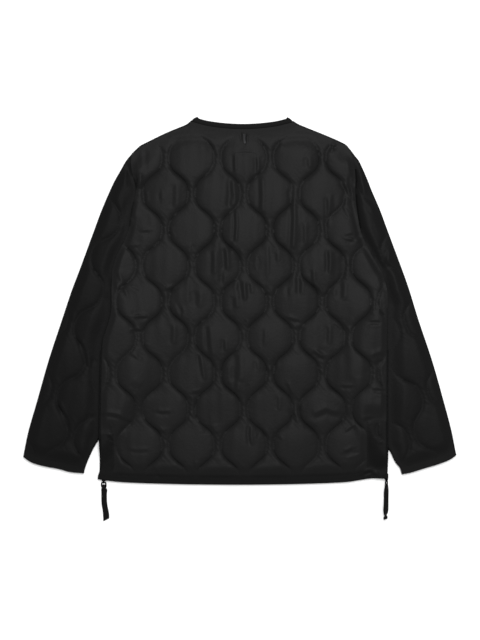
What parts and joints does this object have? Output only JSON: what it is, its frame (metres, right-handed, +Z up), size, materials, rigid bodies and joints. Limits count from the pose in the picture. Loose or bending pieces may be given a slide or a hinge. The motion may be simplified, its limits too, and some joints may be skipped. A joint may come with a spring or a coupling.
{
  "type": "quilted jacket laid flat",
  "caption": "Quilted liner jacket with no collar, lying face down and flat with its sleeves beside the body; the cloth is rigid and the zip pull tabs hinge.",
  "frame": {"origin": "on the floor under the middle of the jacket's outline", "axes": "+X across from the wearer's left sleeve to the right sleeve, +Y up the body from the hem to the neck, +Z up from the floor through the back"},
  "size_m": [0.8062, 0.7484, 0.0249],
  "materials": {
    "body_cloth": "black quilted nylon with a soft sheen",
    "sleeve_cloth": "black quilted nylon with a soft sheen",
    "binding_cloth": "matt black woven tape",
    "zip_chain": "black moulded zip chain",
    "zip_metal": "dark plated zinc",
    "stud_metal": "dark plated brass"
  },
  "bodies": {
    "jacket": {"back": "body_cloth", "front_left": "body_cloth", "front_right": "body_cloth", "sleeve_left": "sleeve_cloth", "sleeve_right": "sleeve_cloth", "neck_binding": "binding_cloth", "hanging_loop": "binding_cloth", "zip_left": "zip_chain", "zip_right": "zip_chain", "slider_left": "zip_metal", "slider_right": "zip_metal", "press_stud_1": "stud_metal", "press_stud_2": "stud_metal", "press_stud_3": "stud_metal", "press_stud_4": "stud_metal", "press_stud_5": "stud_metal"},
    "pull_left": {"puller_left": "zip_metal", "pull_tape_left": "binding_cloth"},
    "pull_right": {"puller_right": "zip_metal", "pull_tape_right": "binding_cloth"}
  },
  "joints": [
    {"name": "pull_left_hinge", "type": "hinge", "parent": "jacket", "child": "pull_left", "pos_m": [-0.25365, -0.30324, 0.0045], "axis": [-1, 0, 0], "range_deg": [0, 110]},
    {"name": "pull_right_hinge", "type": "hinge", "parent": "jacket", "child": "pull_right", "pos_m": [0.27295, -0.30064, 0.0054], "axis": [-0.5, 0, 0.866], "range_deg": [0, 110]}
  ]
}
